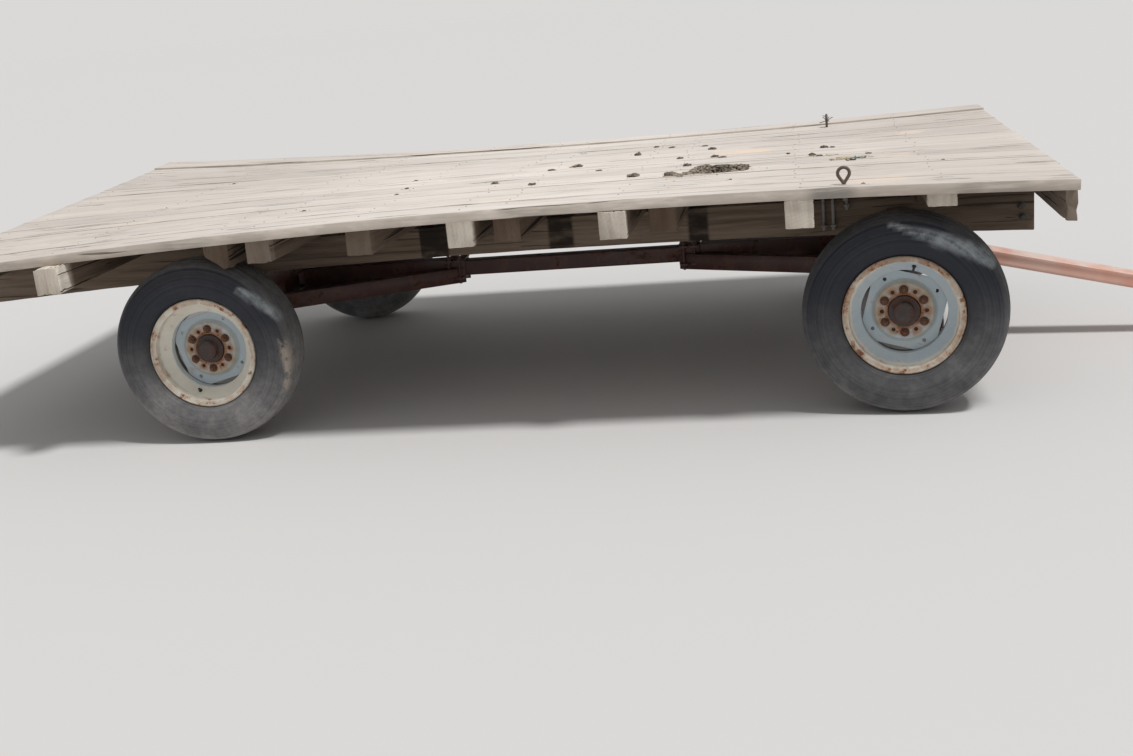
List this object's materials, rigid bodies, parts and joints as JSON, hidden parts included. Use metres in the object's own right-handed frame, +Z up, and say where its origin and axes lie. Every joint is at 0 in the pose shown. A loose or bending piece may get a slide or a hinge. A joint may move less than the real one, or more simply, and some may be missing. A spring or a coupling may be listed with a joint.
{
  "type": "flat deck hay wagon",
  "caption": "Flat hay wagon with a warped plank deck on timber sills and stringers, a steerable running gear and a drawbar tongue.",
  "frame": {"origin": "on the floor, under the middle of the wagon's overall box", "axes": "+X forward to the tongue, +Y to the wagon's left, +Z up"},
  "size_m": [5.466, 2.554, 0.8882],
  "materials": {
    "deck_wood": "weathered bare planks",
    "frame_timber": "old rough-sawn timber",
    "gear_steel": "worn dark red paint and rust",
    "tongue_paint": "faded red paint",
    "rusty_iron": "rust",
    "tyre_rubber": "dusty worn rubber",
    "rim_paint": "chalky paint with rust",
    "hub_iron": "rust"
  },
  "bodies": {
    "root": {"deck_board_01": "deck_wood", "deck_board_02": "deck_wood", "deck_board_03": "deck_wood", "deck_board_04": "deck_wood", "deck_board_05": "deck_wood", "deck_board_06": "deck_wood", "deck_board_07": "deck_wood", "deck_board_08": "deck_wood", "deck_board_09": "deck_wood", "deck_board_10": "deck_wood", "deck_board_11": "deck_wood", "deck_board_12": "deck_wood", "deck_board_13": "deck_wood", "sill_01": "frame_timber", "sill_02": "frame_timber", "sill_03": "frame_timber", "sill_04": "frame_timber", "sill_05": "frame_timber", "sill_06": "frame_timber", "sill_07": "frame_timber", "sill_08": "frame_timber", "sill_09": "frame_timber", "sill_10": "frame_timber", "sill_11": "frame_timber", "front_header": "frame_timber", "stringer_left": "frame_timber", "stringer_right": "frame_timber", "front_bolster": "gear_steel", "rear_bolster": "gear_steel", "reach": "gear_steel", "rear_clamp": "gear_steel", "front_clamp": "gear_steel", "rear_hound_left": "gear_steel", "rear_hound_right": "gear_steel", "front_hound_left": "gear_steel", "front_hound_right": "gear_steel", "front_axle": "gear_steel", "rear_axle": "gear_steel", "eyebolt_left": "rusty_iron", "eyebolt_right": "rusty_iron"},
    "bracket": {"steering_bracket": "gear_steel"},
    "left_knuckle": {"knuckle_left": "gear_steel"},
    "right_knuckle": {"knuckle_right": "gear_steel"},
    "left_tie_rod": {"tie_rod_left": "gear_steel"},
    "right_tie_rod": {"tie_rod_right": "gear_steel"},
    "tongue": {"tongue": "tongue_paint"},
    "front_left_wheel": {"tyre_front_left": "tyre_rubber", "rim_front_left": "rim_paint", "hub_front_left": "hub_iron"},
    "front_right_wheel": {"tyre_front_right": "tyre_rubber", "rim_front_right": "rim_paint", "hub_front_right": "hub_iron"},
    "rear_left_wheel": {"tyre_rear_left": "tyre_rubber", "rim_rear_left": "rim_paint", "hub_rear_left": "hub_iron"},
    "rear_right_wheel": {"tyre_rear_right": "tyre_rubber", "rim_rear_right": "rim_paint", "hub_rear_right": "hub_iron"}
  },
  "joints": [
    {"name": "steering", "type": "hinge", "parent": "root", "child": "bracket", "pos_m": [1.05398, 0, 0.351], "axis": [0, 0, 1], "range_deg": [-24, 36]},
    {"name": "left_king_pin", "type": "hinge", "parent": "root", "child": "left_knuckle", "pos_m": [0.96198, 0.826, 0.351], "axis": [0, 0, 1], "range_deg": [-24, 36]},
    {"name": "left_tie_rod_pin", "type": "hinge", "parent": "bracket", "child": "left_tie_rod", "pos_m": [1.1663, 0.01635, 0.267], "axis": [0, 0, 1], "range_deg": [-36, 24]},
    {"name": "right_king_pin", "type": "hinge", "parent": "root", "child": "right_knuckle", "pos_m": [0.96198, -0.826, 0.351], "axis": [0, 0, 1], "range_deg": [-24, 36]},
    {"name": "right_tie_rod_pin", "type": "hinge", "parent": "bracket", "child": "right_tie_rod", "pos_m": [1.16045, -0.03934, 0.267], "axis": [0, 0, 1], "range_deg": [-36, 24]},
    {"name": "tongue_lift", "type": "hinge", "parent": "bracket", "child": "tongue", "pos_m": [1.21111, -0.01651, 0.371], "axis": [-0.1045, -0.9945, 0], "range_deg": [0, 40]},
    {"name": "front_left_wheel_turn", "type": "hinge", "parent": "left_knuckle", "child": "front_left_wheel", "pos_m": [0.97923, 0.9901, 0.351], "axis": [0.1045, 0.9945, 0], "continuous": true},
    {"name": "front_right_wheel_turn", "type": "hinge", "parent": "right_knuckle", "child": "front_right_wheel", "pos_m": [0.94473, -0.9901, 0.351], "axis": [0.1045, 0.9945, 0], "continuous": true},
    {"name": "rear_left_wheel_turn", "type": "hinge", "parent": "root", "child": "rear_left_wheel", "pos_m": [-1.62302, 0.991, 0.351], "axis": [0, 1, 0], "continuous": true},
    {"name": "rear_right_wheel_turn", "type": "hinge", "parent": "root", "child": "rear_right_wheel", "pos_m": [-1.62302, -0.991, 0.351], "axis": [0, 1, 0], "continuous": true}
  ],
  "couplings": [
    {"joint": "left_king_pin", "follows": "steering", "ratio": 1},
    {"joint": "right_king_pin", "follows": "steering", "ratio": 1},
    {"joint": "left_tie_rod_pin", "follows": "steering", "ratio": -1},
    {"joint": "right_tie_rod_pin", "follows": "steering", "ratio": -1}
  ]
}
